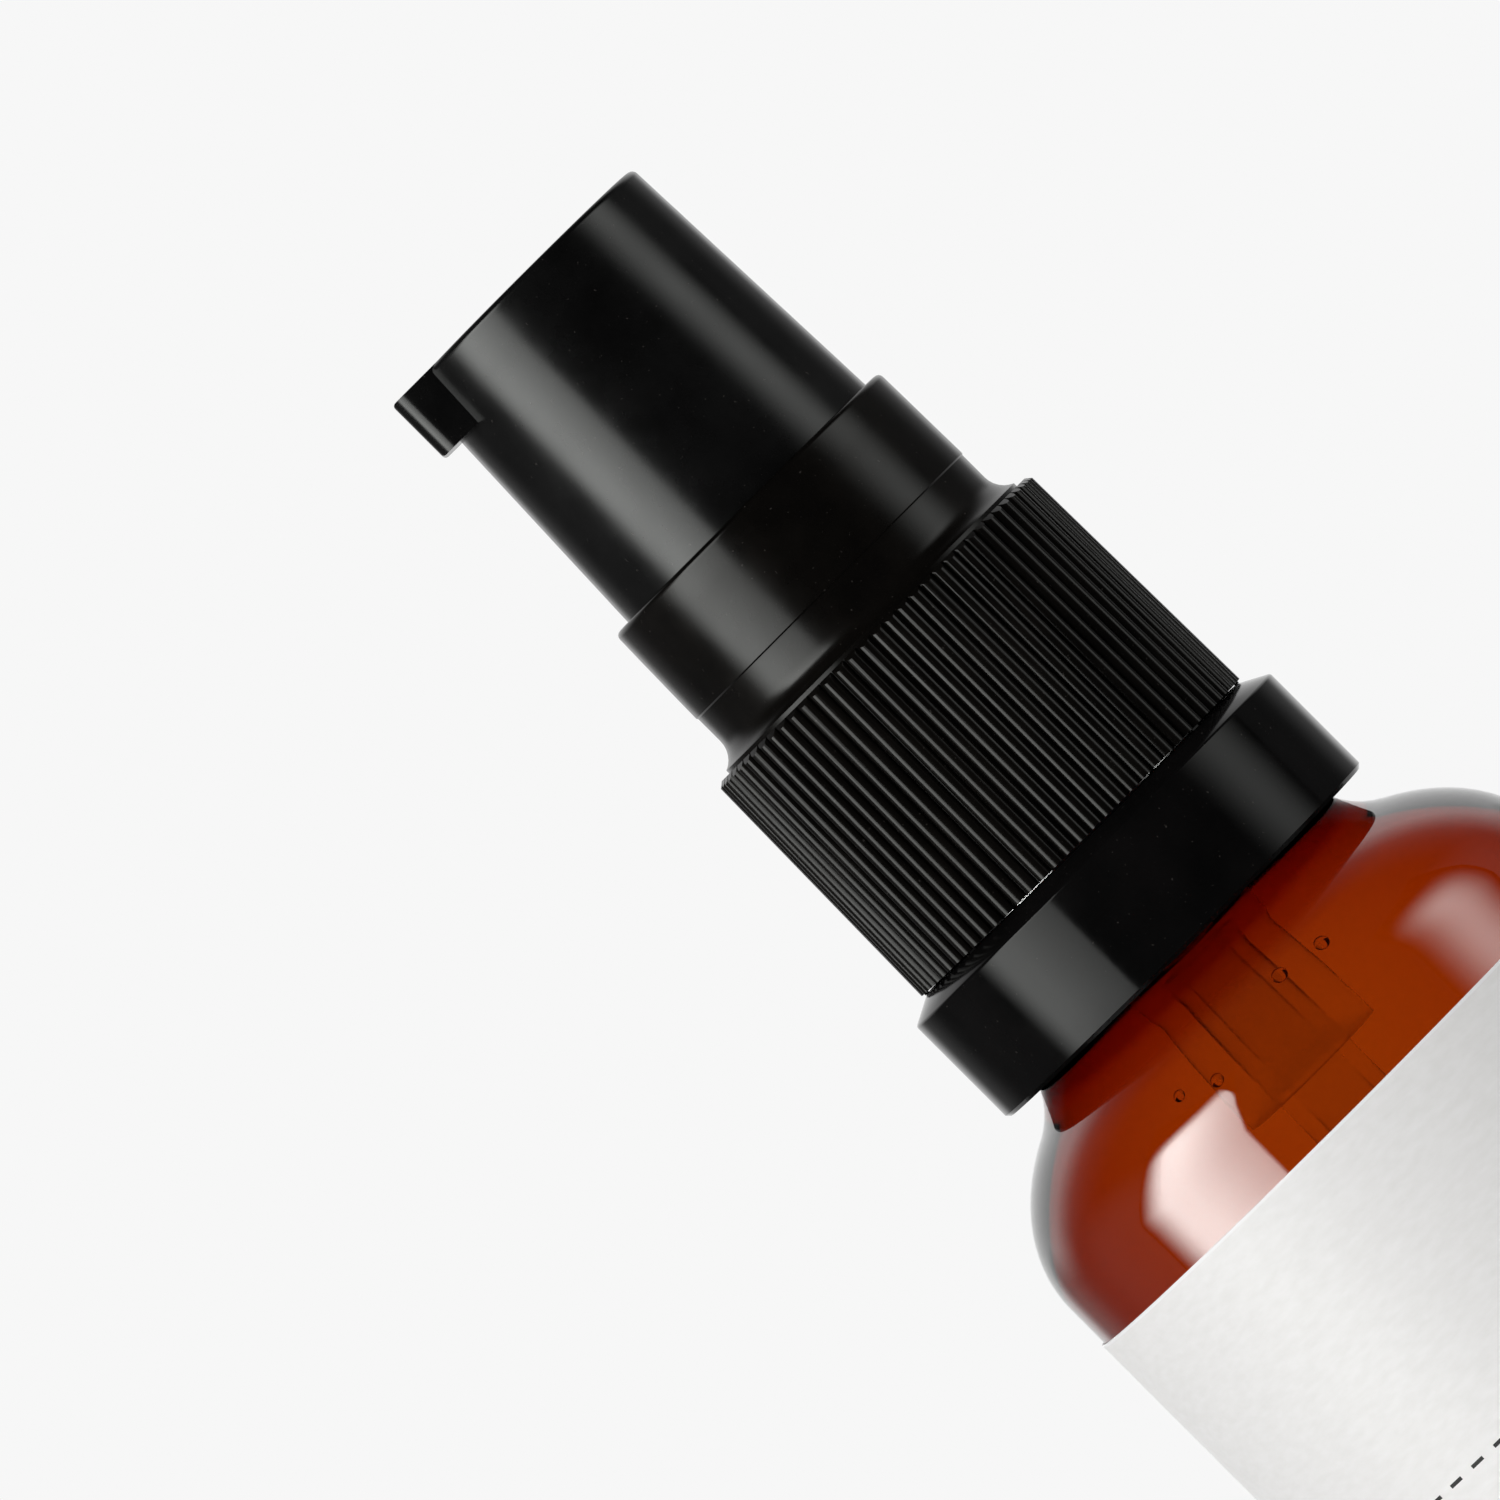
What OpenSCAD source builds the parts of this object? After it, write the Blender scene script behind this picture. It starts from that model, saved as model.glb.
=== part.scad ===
// Pump oil bottle: an amber glass bottle with a screw-on treatment pump.
// Millimetres, +Z up. The origin is the centre of the bottle's foot, and the nozzle points to -X.

/* [Bottle] */
// Diameter of the glass body
bottle_d = 33; // [30:0.5:40]
// Height of the glass from the foot to the rim
bottle_h = 79; // [76:0.5:95]
// Thickness of the glass wall
glass_t = 1.8; // [1.2:0.1:2.4]
// Thickness of the glass foot in the middle
foot_t = 3.4; // [2.6:0.1:5]
// Rise of the hollow under the foot
punt_h = 1.2; // [0.6:0.1:2]
// Width of the flat ring that the bottle stands on
stand_w = 1.8; // [1:0.1:3]
// Rounding where the body meets the foot
heel_r = 2.7; // [1.5:0.1:4]
// Height of the shoulder's curve
shoulder_h = 8.3; // [7:0.1:10]
// Width of the shoulder's curve
shoulder_w = 10.5; // [8:0.1:12]
// Radius of the hollow between shoulder and neck
neck_fillet_r = 4; // [3.4:0.1:5]

/* [Neck] */
// Diameter of the bare neck below the bead
neck_d = 19.2; // [18.8:0.1:19.6]
// Diameter of the neck inside its thread
finish_d = 16; // [15.4:0.1:16.4]
// Diameter of the mouth
mouth_d = 12.4; // [12:0.1:12.8]
// Diameter of the bead that holds the band down
bead_d = 20.8; // [20.4:0.1:21]
// Height of the bead
bead_h = 1.8; // [1.2:0.1:2.2]

/* [Label] */
// Height of the label
label_h = 42; // [20:1:44]
// Step from the label's top edge up to the shoulder
label_drop = 2.3; // [1.5:0.1:4]
// Thickness of the label
label_t = 0.12; // [0.08:0.01:0.2]
// Angle that the label wraps
label_wrap = 330; // [180:5:350]

/* [Collar] */
// Diameter of the ribbed skirt at its lower edge
collar_d = 21.74; // [21.4:0.02:22.4]
// Diameter of the ribbed skirt at its upper edge
collar_top_d = 21.3; // [20.8:0.02:21.4]
// Bore of the skirt, over the thread
collar_bore_d = 18.5; // [18.3:0.1:18.9]
// Distance from the bottle's rim down to the skirt's lower edge
collar_reach = 10.5; // [9.5:0.1:12]
// Thickness of the collar's plate
plate_t = 1.2; // [0.8:0.1:1.6]
// Number of ribs
rib_count = 76; // [48:1:90]
// Depth of a rib
rib_h = 0.42; // [0.3:0.02:0.5]
// Radius of a rib's round crest
rib_r = 0.4; // [0.3:0.01:0.42]
// Diameter of the guard tower
tower_d = 18.2; // [17.9:0.1:18.8]
// Height of the guard tower above the plate
tower_h = 8.62; // [7:0.02:10]
// Height of the waist at the tower's foot, with its flare
waist_h = 3; // [2:0.1:4]
// Radius of the flare
flare_r = 1.3; // [1:0.1:2]
// Height of the flare
flare_h = 1.2; // [0.8:0.05:1.25]

/* [Band] */
// Diameter of the tamper band
band_d = 24.2; // [23.4:0.1:26]
// Height of the band's outer wall
band_h = 6.35; // [5.6:0.05:6.5]
// Height of the sloping top of the band
band_slope_h = 0.7; // [0.4:0.05:1]
// Number of bridges from the band to the collar
bridge_count = 8; // [4:1:16]

/* [Head] */
// Diameter of the head at its top
head_top_d = 15.1; // [14.4:0.1:15.6]
// Diameter of the head where it enters the tower
head_d = 16.26; // [15.9:0.02:16.3]
// Height of the head above the tower
head_h = 15.4; // [13:0.1:20]
// Wall thickness of the head
head_t = 1.1; // [0.8:0.1:1.4]
// Length of the head inside the tower
head_tail = 4; // [3:0.1:4.2]
// Reach of the nozzle from the axis
nozzle_reach = 8.8; // [8.2:0.1:14]
// Width of the nozzle
nozzle_w = 8.4; // [6:0.1:9]
// Height of the nozzle
nozzle_h = 3.5; // [3:0.1:4.5]
// Diameter of the outlet
outlet_d = 1.6; // [1:0.1:2]

/* [Pump] */
// Stroke of the head
stroke = 4; // [2:0.1:4.2]
// Bore of the pump cylinder
cylinder_d = 7.2; // [7:0.1:7.4]
// Wall of the pump cylinder
cylinder_t = 1; // [0.8:0.1:1.2]
// Diameter of the stem
stem_d = 5; // [4.6:0.1:5.2]
// Bore of the stem
stem_bore_d = 2.8; // [2.4:0.1:3]
// Thickness of the gasket
gasket_t = 1.2; // [0.8:0.1:2]
// Thickness of the cylinder's flange
flange_t = 1.25; // [1:0.05:2]
// Height of the piston
piston_h = 3.8; // [3:0.1:5]
// Travel of the piston on the poppet, which opens the port
piston_slip = 0.8; // [0.4:0.1:1.2]
// Diameter of the check ball
ball_d = 3.5; // [3.2:0.1:3.8]
// Lift of the check ball
ball_lift = 0.8; // [0.4:0.1:1.2]
// Diameter of the spring's wire
wire_d = 0.6; // [0.4:0.05:0.7]
// Number of turns in the spring
spring_turns = 6.5; // [5:0.5:7]
// Outer diameter of the dip tube
tube_d = 3.2; // [2.8:0.1:3.6]
// Bore of the dip tube
tube_bore_d = 2; // [1.4:0.1:2.2]
// Gap between the dip tube and the bottle's floor
tube_gap = 1.6; // [1:0.1:4]
// Drift of the dip tube's lower end to one side, from the curl that it keeps
tube_drift = 3.8; // [1:0.1:4]

/* [Hidden] */
$fn = 96;

// Shared clearances
running = 0.05;      // between faces that turn or slide on each other
loose = 0.15;        // around a piece that only has to pass
seat_gap = 0.02;     // between a part and the seat that it rests on
eps = 0.01;          // overlap of cutting tools and of joined solids

// Bottle levels and radii
body_r = bottle_d / 2;
rim_z = bottle_h;
rim_round = 0.6;
neck_r = neck_d / 2;
finish_r = finish_d / 2;
mouth_r = mouth_d / 2;
bead_r = bead_d / 2;
collar_z = rim_z - collar_reach;              // lower edge of the collar's skirt
bridge_gap = 0.1;                             // between the band's crest and the skirt
band_crest_z = collar_z - bridge_gap;
band_edge_z = band_crest_z - band_slope_h;    // upper edge of the band's outer wall
band_z = band_edge_z - band_h;
bead_drop = 1.2;                              // from the band's crest down to the bead
bead_top_z = band_crest_z - bead_drop;
bead_z = bead_top_z - bead_h;
bead_slope = 0.7;
neck_foot_z = band_z + 1.7;                   // where the neck's hollow curve starts
// The neck's hollow curve touches the shoulder's ellipse where both have this slope
touch_a = 61.6;                               // angle of the touching point's normal
touch_x = shoulder_w * shoulder_w * cos(touch_a) /
          sqrt(pow(shoulder_w * cos(touch_a), 2) + pow(shoulder_h * sin(touch_a), 2));
touch_y = shoulder_h * shoulder_h * sin(touch_a) /
          sqrt(pow(shoulder_w * cos(touch_a), 2) + pow(shoulder_h * sin(touch_a), 2));
fillet_x = neck_r + neck_fillet_r;            // centre of the hollow curve
fillet_touch = [fillet_x - neck_fillet_r * cos(touch_a), neck_foot_z - neck_fillet_r * sin(touch_a)];
shoulder_z = fillet_touch[1] - touch_y;       // top of the straight body
// The ellipse is drawn from the body's wall to the touching point
shoulder_reach = (body_r - fillet_touch[0]) / (shoulder_w - touch_x);

label_top_z = shoulder_z - label_drop;
label_z = label_top_z - label_h;

// Closure levels
flange_z = rim_z + gasket_t;
flange_top_z = flange_z + flange_t;
plate_z = flange_top_z + running;
collar_top_z = plate_z + plate_t;
tower_z = collar_top_z + tower_h;
head_top_z = tower_z + head_h;
head_z = tower_z - head_tail;

// Pump levels
plate_hole_r = 6;
spigot_r = plate_hole_r - 0.2;
turret_t = 0.8;                               // thickness of the turret's top
turret_r = plate_hole_r + 0.7;
turret_skirt_z = collar_top_z + 0.1;
spigot_z = collar_top_z + 1.2;
turret_top_z = spigot_z + turret_t;
seat_z = flange_z + 0.5;                      // ledge that the turret's sleeve stands on
sleeve_r = 4.65;
cylinder_r = cylinder_d / 2;
cylinder_out_r = cylinder_r + cylinder_t;
stem_r = stem_d / 2;
stem_bore_r = stem_bore_d / 2;
stop_h = 0.95;                                // stop flange on the stem, under the turret
stop_r = stem_r + 0.7;
stop_top_z = seat_z - running;
stop_z = stop_top_z - stop_h;
piston_top_z = stop_z - piston_slip - seat_gap;
piston_z = piston_top_z - piston_h;
poppet_head_h = 1.4;
poppet_top_z = piston_z - seat_gap;
poppet_z = poppet_top_z - poppet_head_h;
poppet_head_r = cylinder_r - 0.6;
poppet_shank_r = stem_bore_r - seat_gap;
poppet_shank_h = 8;                           // from the head up into the stem
spring_r = cylinder_r - 0.9;                  // to the middle of the wire
spring_h = stroke + (spring_turns + 1) * wire_d + 1;
ledge_z = poppet_z - spring_h;                // the spring stands here
ball_r = ball_d / 2;
chamber_r = ball_r + 0.5;
inlet_r = 1;
nib_h = 0.5;
nib_z = ledge_z - nib_h;
ball_z = nib_z - seat_gap - ball_lift - ball_r;        // centre of the ball on its seat
seat_cone_z = ball_z - seat_gap - ball_r * sqrt(2);    // where the 45 degree seat would come to a point
socket_top_z = seat_cone_z + inlet_r - 1.2;
socket_h = 6;
socket_z = socket_top_z - socket_h;
tube_r = tube_d / 2;
tube_z = foot_t + tube_gap;

// ---------- profile helpers ----------

// Points on an arc about c, from angle a0 to a1 in n steps
function arc(c, r, a0, a1, n) =
    [for (i = [0:n]) let (a = a0 + (a1 - a0) * i / n) [c[0] + r * cos(a), c[1] + r * sin(a)]];

// Points on an ellipse about c, with half axes a and b
function ellipse_arc(c, a, b, a0, a1, n) =
    [for (i = [0:n]) let (t = a0 + (a1 - a0) * i / n) [c[0] + a * cos(t), c[1] + b * sin(t)]];

// A ring with the given radii and levels
module ring(r_out, r_in, z0, z1) {
    translate([0, 0, z0])
        difference() {
            cylinder(r = r_out, h = z1 - z0);
            translate([0, 0, -eps])
                cylinder(r = r_in, h = z1 - z0 + 2 * eps);
        }
}

// ---------- bottle ----------

// Half outline of the glass with its mouth filled, from the punt round to the axis at the rim
function bottle_outline() = concat(
    [[0, punt_h]],
    arc([body_r - heel_r - stand_w, punt_h], punt_h, 270 - 90, 270, 5),
    arc([body_r - heel_r, heel_r], heel_r, 270, 360, 8),
    ellipse_arc([body_r - shoulder_w * shoulder_reach, shoulder_z],
                shoulder_w * shoulder_reach, shoulder_h, 0,
                atan2(touch_y / shoulder_h, touch_x / shoulder_w), 14),
    arc([fillet_x, neck_foot_z], neck_fillet_r, 180 + touch_a, 180, 9),
    [[neck_r, bead_z - bead_slope],
     [bead_r, bead_z],
     [bead_r, bead_top_z - bead_slope],
     [bead_r - bead_slope, bead_top_z],
     [finish_r, bead_top_z]],
    arc([finish_r - rim_round, rim_z - rim_round], rim_round, 0, 90, 5),
    [[0, rim_z]]
);

// Half outline of the hollow, from the floor's middle to the mouth
cave_r = body_r - glass_t;
cave_fillet_r = 3;
cave_neck_z = neck_foot_z - 2;
cave_shoulder_w = cave_r - mouth_r - cave_fillet_r * (1 - cos(50));
cave_shoulder_h = cave_neck_z - cave_fillet_r * sin(50) - shoulder_z;
function hollow_outline() = concat(
    [[0, foot_t]],
    arc([cave_r - heel_r, foot_t + heel_r - 0.4], heel_r, 270, 360, 7),
    ellipse_arc([cave_r - cave_shoulder_w, shoulder_z], cave_shoulder_w, cave_shoulder_h, 0, 90, 12),
    arc([mouth_r + cave_fillet_r, cave_neck_z], cave_fillet_r, 230, 180, 5),
    [[mouth_r, rim_z - rim_round]],
    arc([mouth_r + rim_round, rim_z - rim_round], rim_round, 180, 110, 4),
    [[mouth_r + rim_round, rim_z + eps], [0, rim_z + eps]]
);

module bottle() {
    color([0.42, 0.13, 0.02])
        difference() {
            rotate_extrude() polygon(bottle_outline());
            rotate_extrude() polygon(hollow_outline());
        }
}

module label() {
    color([0.95, 0.95, 0.94])
        rotate([0, 0, 270 - label_wrap / 2])
            rotate_extrude(angle = label_wrap)
                translate([body_r + seat_gap, label_z])
                    square([label_t, label_h]);
}

// ---------- closure ----------

band_r = band_d / 2;
band_bore_r = bead_r + loose;                 // the band clears the bead
band_lip_r = neck_r + 0.25;                   // the lip snaps in under the bead
band_lip_h = 1.2;
band_foot_r = neck_r + 0.75;                  // the bore opens over the neck's curve
band_crest_r = collar_d / 2 - 0.25;
band_edge_round = 0.2;

module tamper_band() {
    lip_top_z = bead_z - bead_slope - loose;
    color([0.03, 0.03, 0.03]) {
        rotate_extrude()
            polygon(concat(
                [[band_foot_r, band_z], [band_r - band_edge_round, band_z],
                 [band_r, band_z + band_edge_round]],
                arc([band_r - band_edge_round, band_edge_z - band_edge_round], band_edge_round, 0, 60, 4),
                [[band_crest_r, band_crest_z], [band_bore_r, band_crest_z],
                 [band_bore_r, lip_top_z + 0.5], [band_lip_r, lip_top_z],
                 [band_lip_r, lip_top_z - band_lip_h], [band_foot_r, lip_top_z - band_lip_h - 0.5]]));
        bridges();
    }
}

// Thin bridges that stand on the band's crest and break when the collar is first turned
bridge_w = 0.5;
module bridges() {
    bridge_r = (band_bore_r + band_crest_r) / 2;
    for (i = [0:bridge_count - 1])
        rotate([0, 0, i * 360 / bridge_count])
            translate([bridge_r - bridge_w / 4, -bridge_w / 2, band_crest_z - eps])
                cube([bridge_w / 2, bridge_w, bridge_gap - seat_gap + eps]);
}

skirt_r = collar_d / 2;
skirt_top_r = collar_top_d / 2;
skirt_chamfer_w = 0.3;
skirt_chamfer_h = 0.25;
rib_crest_a = 65;                             // half angle of a rib's round crest
rib_root_w = 0.76;
rib_root_r = skirt_r - rib_h - 0.4;           // the ribs are rooted in the wall
draft_a = atan((skirt_r - skirt_top_r) / (collar_top_z - collar_z));
tower_r = tower_d / 2;
tower_lip_r = tower_r - 0.1;                  // the tower has a slight draft
tower_round = 0.3;
tower_bore_r = head_d / 2 + loose;
waist_r = tower_r - 0.06;
waist_z = collar_top_z + waist_h;
waist_step = 0.08;
flare_step = 0.2;                             // upright step below the flare
flare_z = collar_top_z + flare_step + flare_h;
flare_a = asin(flare_h / flare_r);
flare_foot_r = waist_r + flare_r * (1 - cos(flare_a));

// Half outline of the ribs' outer envelope, and with inset of the wall between the ribs
function skirt_outline(inset) = [
    [collar_bore_d / 2, collar_z],
    [skirt_r - inset, collar_z],
    [skirt_top_r - inset, collar_top_z - skirt_chamfer_h],
    [skirt_top_r - skirt_chamfer_w - min(inset, 0.2), collar_top_z],
    [collar_bore_d / 2, collar_top_z]];

// One rib in plan, with the middle of its crest at the origin
module rib_plan() {
    root_x = rib_root_r - skirt_r;
    polygon(concat(
        [[root_x, -rib_root_w / 2]],
        arc([-rib_r, 0], rib_r, -rib_crest_a, rib_crest_a, 6),
        [[root_x, rib_root_w / 2]]));
}

// Round ribs that lean inwards with the skirt's draft, trimmed by their envelope
module ribs() {
    intersection() {
        for (i = [0:rib_count - 1])
            rotate([0, 0, i * 360 / rib_count])
                translate([skirt_r, 0, collar_z])
                    rotate([0, -draft_a, 0])
                        translate([0, 0, -rib_h])
                            linear_extrude(height = collar_top_z - collar_z + 2 * rib_h)
                                rib_plan();
        rotate_extrude() polygon(skirt_outline(-eps));
    }
}

// The plate with the tower, which stands on a waist with a flared foot
module tower() {
    rotate_extrude()
        polygon(concat(
            [[plate_hole_r, plate_z], [collar_bore_d / 2 + eps, plate_z],
             [collar_bore_d / 2 + eps, collar_top_z], [flare_foot_r, collar_top_z]],
            arc([waist_r + flare_r, flare_z], flare_r, 180 + flare_a, 180, 6),
            [[waist_r, waist_z - waist_step], [tower_r, waist_z]],
            arc([tower_lip_r - tower_round, tower_z - tower_round], tower_round, 0, 90, 4),
            [[tower_bore_r, tower_z], [tower_bore_r, collar_top_z], [plate_hole_r, collar_top_z]]));
}

module collar() {
    color([0.04, 0.035, 0.03])
        union() {
            rotate_extrude() polygon(skirt_outline(rib_h));
            ribs();
            tower();
        }
}

// ---------- head ----------

head_tail_r = head_d / 2;
head_top_r = head_top_d / 2;
head_round = 0.35;
head_roof_t = 1.3;
socket_r = stem_r + 1.1;
socket_depth = 9.5;
stem_top_z = head_top_z - 3.7;
channel_z = head_top_z - nozzle_h / 2;
nozzle_round = 1;                             // front corners, in plan
nozzle_ease = 0.2;                            // edges, in the side view
nozzle_root_x = -socket_r / 2;                // the spout's body runs back to the socket
brace_t = 0.9;
brace_count = 4;

// Half outline of the head, with a slight draft above the tower
module head_shell() {
    rotate_extrude()
        polygon(concat(
            [[head_tail_r - head_t, head_z], [head_tail_r, head_z], [head_tail_r, tower_z]],
            arc([head_top_r - head_round, head_top_z - head_round], head_round, 0, 90, 6),
            [[0, head_top_z], [0, head_top_z - head_roof_t],
             [head_top_r - head_t, head_top_z - head_roof_t], [head_tail_r - head_t, tower_z]]));
}

// Plan of the nozzle: a flat spout with rounded front corners
module nozzle_plan() {
    corner_x = -nozzle_reach + nozzle_round;
    corner_y = nozzle_w / 2 - nozzle_round;
    polygon(concat(
        arc([corner_x, corner_y], nozzle_round, 90, 180, 8),
        arc([corner_x, -corner_y], nozzle_round, 180, 270, 8),
        [[nozzle_root_x, -nozzle_w / 2], [nozzle_root_x, nozzle_w / 2]]));
}

// Side view of the nozzle, with its edges eased
module nozzle_side() {
    low_z = head_top_z - nozzle_h;
    ease_x = -nozzle_reach + nozzle_ease;
    polygon(concat(
        arc([ease_x, head_top_z - nozzle_ease], nozzle_ease, 90, 180, 4),
        arc([ease_x, low_z + nozzle_ease], nozzle_ease, 180, 270, 4),
        [[nozzle_root_x, low_z], [nozzle_root_x, head_top_z]]));
}

module nozzle() {
    intersection() {
        translate([0, 0, head_top_z - nozzle_h - eps])
            linear_extrude(height = nozzle_h + 2 * eps)
                nozzle_plan();
        rotate([90, 0, 0])
            translate([0, 0, -nozzle_w])
                linear_extrude(height = 2 * nozzle_w)
                    nozzle_side();
    }
}

// Socket for the stem, with braces out to the shell
module head_socket() {
    translate([0, 0, stem_top_z - socket_depth])
        cylinder(r = socket_r, h = head_top_z - head_roof_t / 2 - (stem_top_z - socket_depth));
    brace_z = stem_top_z - socket_depth + 2;
    brace_start = socket_r - 0.5;
    brace_end = head_tail_r - head_t + 0.2;
    for (i = [0:brace_count - 1])
        rotate([0, 0, 45 + i * 360 / brace_count])
            translate([brace_start, -brace_t / 2, brace_z])
                cube([brace_end - brace_start, brace_t, head_top_z - head_roof_t / 2 - brace_z]);
}

module actuator() {
    color([0.03, 0.03, 0.03])
        difference() {
            union() {
                head_shell();
                nozzle();
                head_socket();
            }
            // seat of the stem
            translate([0, 0, stem_top_z - socket_depth - eps])
                cylinder(r = stem_r, h = socket_depth + eps);
            // rising channel and outlet
            translate([0, 0, stem_top_z - eps])
                cylinder(r = stem_bore_r, h = channel_z + outlet_d / 2 - stem_top_z);
            translate([0, 0, channel_z])
                rotate([0, -90, 0])
                    cylinder(r = outlet_d / 2, h = nozzle_reach + eps);
        }
}

// ---------- pump ----------

module gasket() {
    color([0.85, 0.85, 0.82])
        ring(collar_bore_d / 2 - 0.75, cylinder_out_r + loose, rim_z, flange_z);
}

flange_r = collar_bore_d / 2 - 0.45;
vent_r = 0.4;
vent_z = rim_z - 2.4;
socket_out_r = tube_r + 1.2;

module pump_cylinder() {
    taper_z = seat_cone_z + inlet_r;          // outside, the cylinder narrows to the socket here
    color([0.92, 0.92, 0.90])
        difference() {
            union() {
                rotate_extrude()
                    polygon([[0, socket_z], [socket_out_r, socket_z], [socket_out_r, taper_z],
                             [cylinder_out_r, taper_z + cylinder_out_r - socket_out_r],
                             [cylinder_out_r, flange_z], [flange_r, flange_z],
                             [flange_r, flange_top_z], [spigot_r, flange_top_z],
                             [spigot_r, spigot_z], [0, spigot_z]]);
            }
            cylinder_hollow();
            // vent into the bottle
            translate([0, 0, vent_z])
                rotate([0, 90, 0])
                    cylinder(r = vent_r, h = cylinder_out_r + 1);
        }
    color([0.92, 0.92, 0.90])
        ball_nibs();
}

// Socket, inlet, ball seat, ball chamber, bore and turret seat, from below
module cylinder_hollow() {
    rotate_extrude()
        polygon([[0, socket_z - eps], [tube_r, socket_z - eps], [tube_r, socket_top_z],
                 [inlet_r, socket_top_z], [inlet_r, seat_cone_z + inlet_r],
                 [chamber_r, seat_cone_z + chamber_r], [chamber_r, ledge_z],
                 [cylinder_r, ledge_z], [cylinder_r, seat_z],
                 [sleeve_r + running, seat_z], [sleeve_r + running, spigot_z + eps], [0, spigot_z + eps]]);
}

// Three nibs that keep the ball in its chamber
nib_count = 3;
module ball_nibs() {
    nib_w = 0.8;
    for (i = [0:nib_count - 1])
        rotate([0, 0, i * 360 / nib_count])
            translate([ball_r * 0.75, -nib_w / 2, nib_z])
                cube([chamber_r - ball_r * 0.75 + 0.2, nib_w, nib_h]);
}

// The turret snaps over the cylinder's spigot, keeps the collar on and guides the stem
module turret() {
    guide_r = stem_r + running;
    color([0.92, 0.92, 0.90])
        rotate_extrude()
            polygon([[guide_r, seat_z], [sleeve_r, seat_z], [sleeve_r, spigot_z + seat_gap],
                     [spigot_r + running, spigot_z + seat_gap], [spigot_r + running, turret_skirt_z],
                     [turret_r, turret_skirt_z], [turret_r, turret_top_z - 0.3],
                     [turret_r - 0.3, turret_top_z], [guide_r, turret_top_z]]);
}

// The tube hangs from the cylinder's socket and drifts towards -X as it goes down
tube_drop = socket_z - tube_z;
tube_curl_r = (tube_drop * tube_drop + tube_drift * tube_drift) / (2 * tube_drift);
tube_cut_a = 30;                              // slant of the tube's lower end

module dip_tube() {
    color([0.95, 0.95, 0.93, 0.6]) {
        ring(tube_r, tube_bore_d / 2, socket_z, socket_top_z);
        difference() {
            translate([-tube_curl_r, 0, socket_z])
                rotate([-90, 0, 0])
                    rotate_extrude(angle = asin(tube_drop / tube_curl_r))
                        translate([tube_curl_r, 0])
                            difference() {
                                circle(r = tube_r);
                                circle(r = tube_bore_d / 2);
                            }
            translate([-tube_drift, 0, tube_z + tube_r * tan(tube_cut_a)])
                rotate([0, tube_cut_a, 0])
                    translate([-2 * tube_d, -tube_d, -3 * tube_d])
                        cube([4 * tube_d, 2 * tube_d, 3 * tube_d]);
        }
    }
}

module check_ball() {
    color([0.8, 0.8, 0.82])
        translate([0, 0, ball_z])
            sphere(r = ball_r);
}

// The poppet closes the piston's lower port and stands on the spring
flute_w = 1;
flute_count = 3;
spring_spigot_h = 1.5;
module poppet() {
    color([0.92, 0.92, 0.90])
        difference() {
            union() {
                translate([0, 0, poppet_z])
                    cylinder(r = poppet_head_r, h = poppet_head_h);
                translate([0, 0, poppet_z - spring_spigot_h])
                    cylinder(r = spring_r - wire_d, h = spring_spigot_h + eps);
                translate([0, 0, poppet_top_z - eps])
                    cylinder(r = poppet_shank_r, h = poppet_shank_h);
            }
            // flutes that carry the oil up past the shank
            for (i = [0:flute_count - 1])
                rotate([0, 0, i * 360 / flute_count])
                    translate([poppet_shank_r * 0.55, -flute_w / 2, poppet_top_z])
                        cube([poppet_shank_r, flute_w, poppet_shank_h + 1]);
        }
}

// Piston with two thin lips that wipe the cylinder
module piston() {
    lip_r = cylinder_r - 0.03;
    waist_r = cylinder_r - 0.7;
    bore_r = stem_bore_r + 0.25;
    lip_h = 0.7;
    color([0.9, 0.9, 0.88])
        rotate_extrude()
            polygon([[bore_r, piston_z], [waist_r - 0.2, piston_z], [lip_r - 0.3, piston_z],
                     [lip_r, piston_z + 0.1], [lip_r, piston_z + lip_h], [waist_r, piston_z + lip_h + 0.6],
                     [waist_r, piston_top_z - lip_h - 0.6], [lip_r, piston_top_z - lip_h],
                     [lip_r, piston_top_z - 0.1], [lip_r - 0.3, piston_top_z], [bore_r, piston_top_z]]);
}

// Hollow stem with a stop flange under the turret
module stem() {
    stem_z = piston_top_z + piston_slip + seat_gap;
    color([0.92, 0.92, 0.90])
        difference() {
            union() {
                translate([0, 0, stem_z])
                    cylinder(r = stem_r, h = stem_top_z - stem_z);
                translate([0, 0, stop_z])
                    cylinder(r = stop_r, h = stop_h);
            }
            translate([0, 0, stem_z - eps])
                cylinder(r = stem_bore_r, h = stem_top_z - stem_z + 2 * eps);
        }
}

// Spring: closed end turns, and open turns between them
spring_steps = 16;                            // rings of wire to a turn
wire_sides = 8;
function spring_level(t) =                    // height of the wire's middle after t turns
    let (low = wire_d / 2 + seat_gap, open = spring_h - 3 * wire_d - 2 * seat_gap,
         turns = spring_turns - 2)
    t < 1 ? low + wire_d * t :
    t > spring_turns - 1 ? spring_h - low - wire_d * (spring_turns - t) :
    low + wire_d + (t - 1) / turns * open;
function wire_ring(t) =
    [for (k = [0:wire_sides - 1])
        let (a = 360 * t, b = 360 * k / wire_sides, r = spring_r + wire_d / 2 * cos(b))
        [r * cos(a), r * sin(a), ledge_z + spring_level(t) + wire_d / 2 * sin(b)]];

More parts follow.
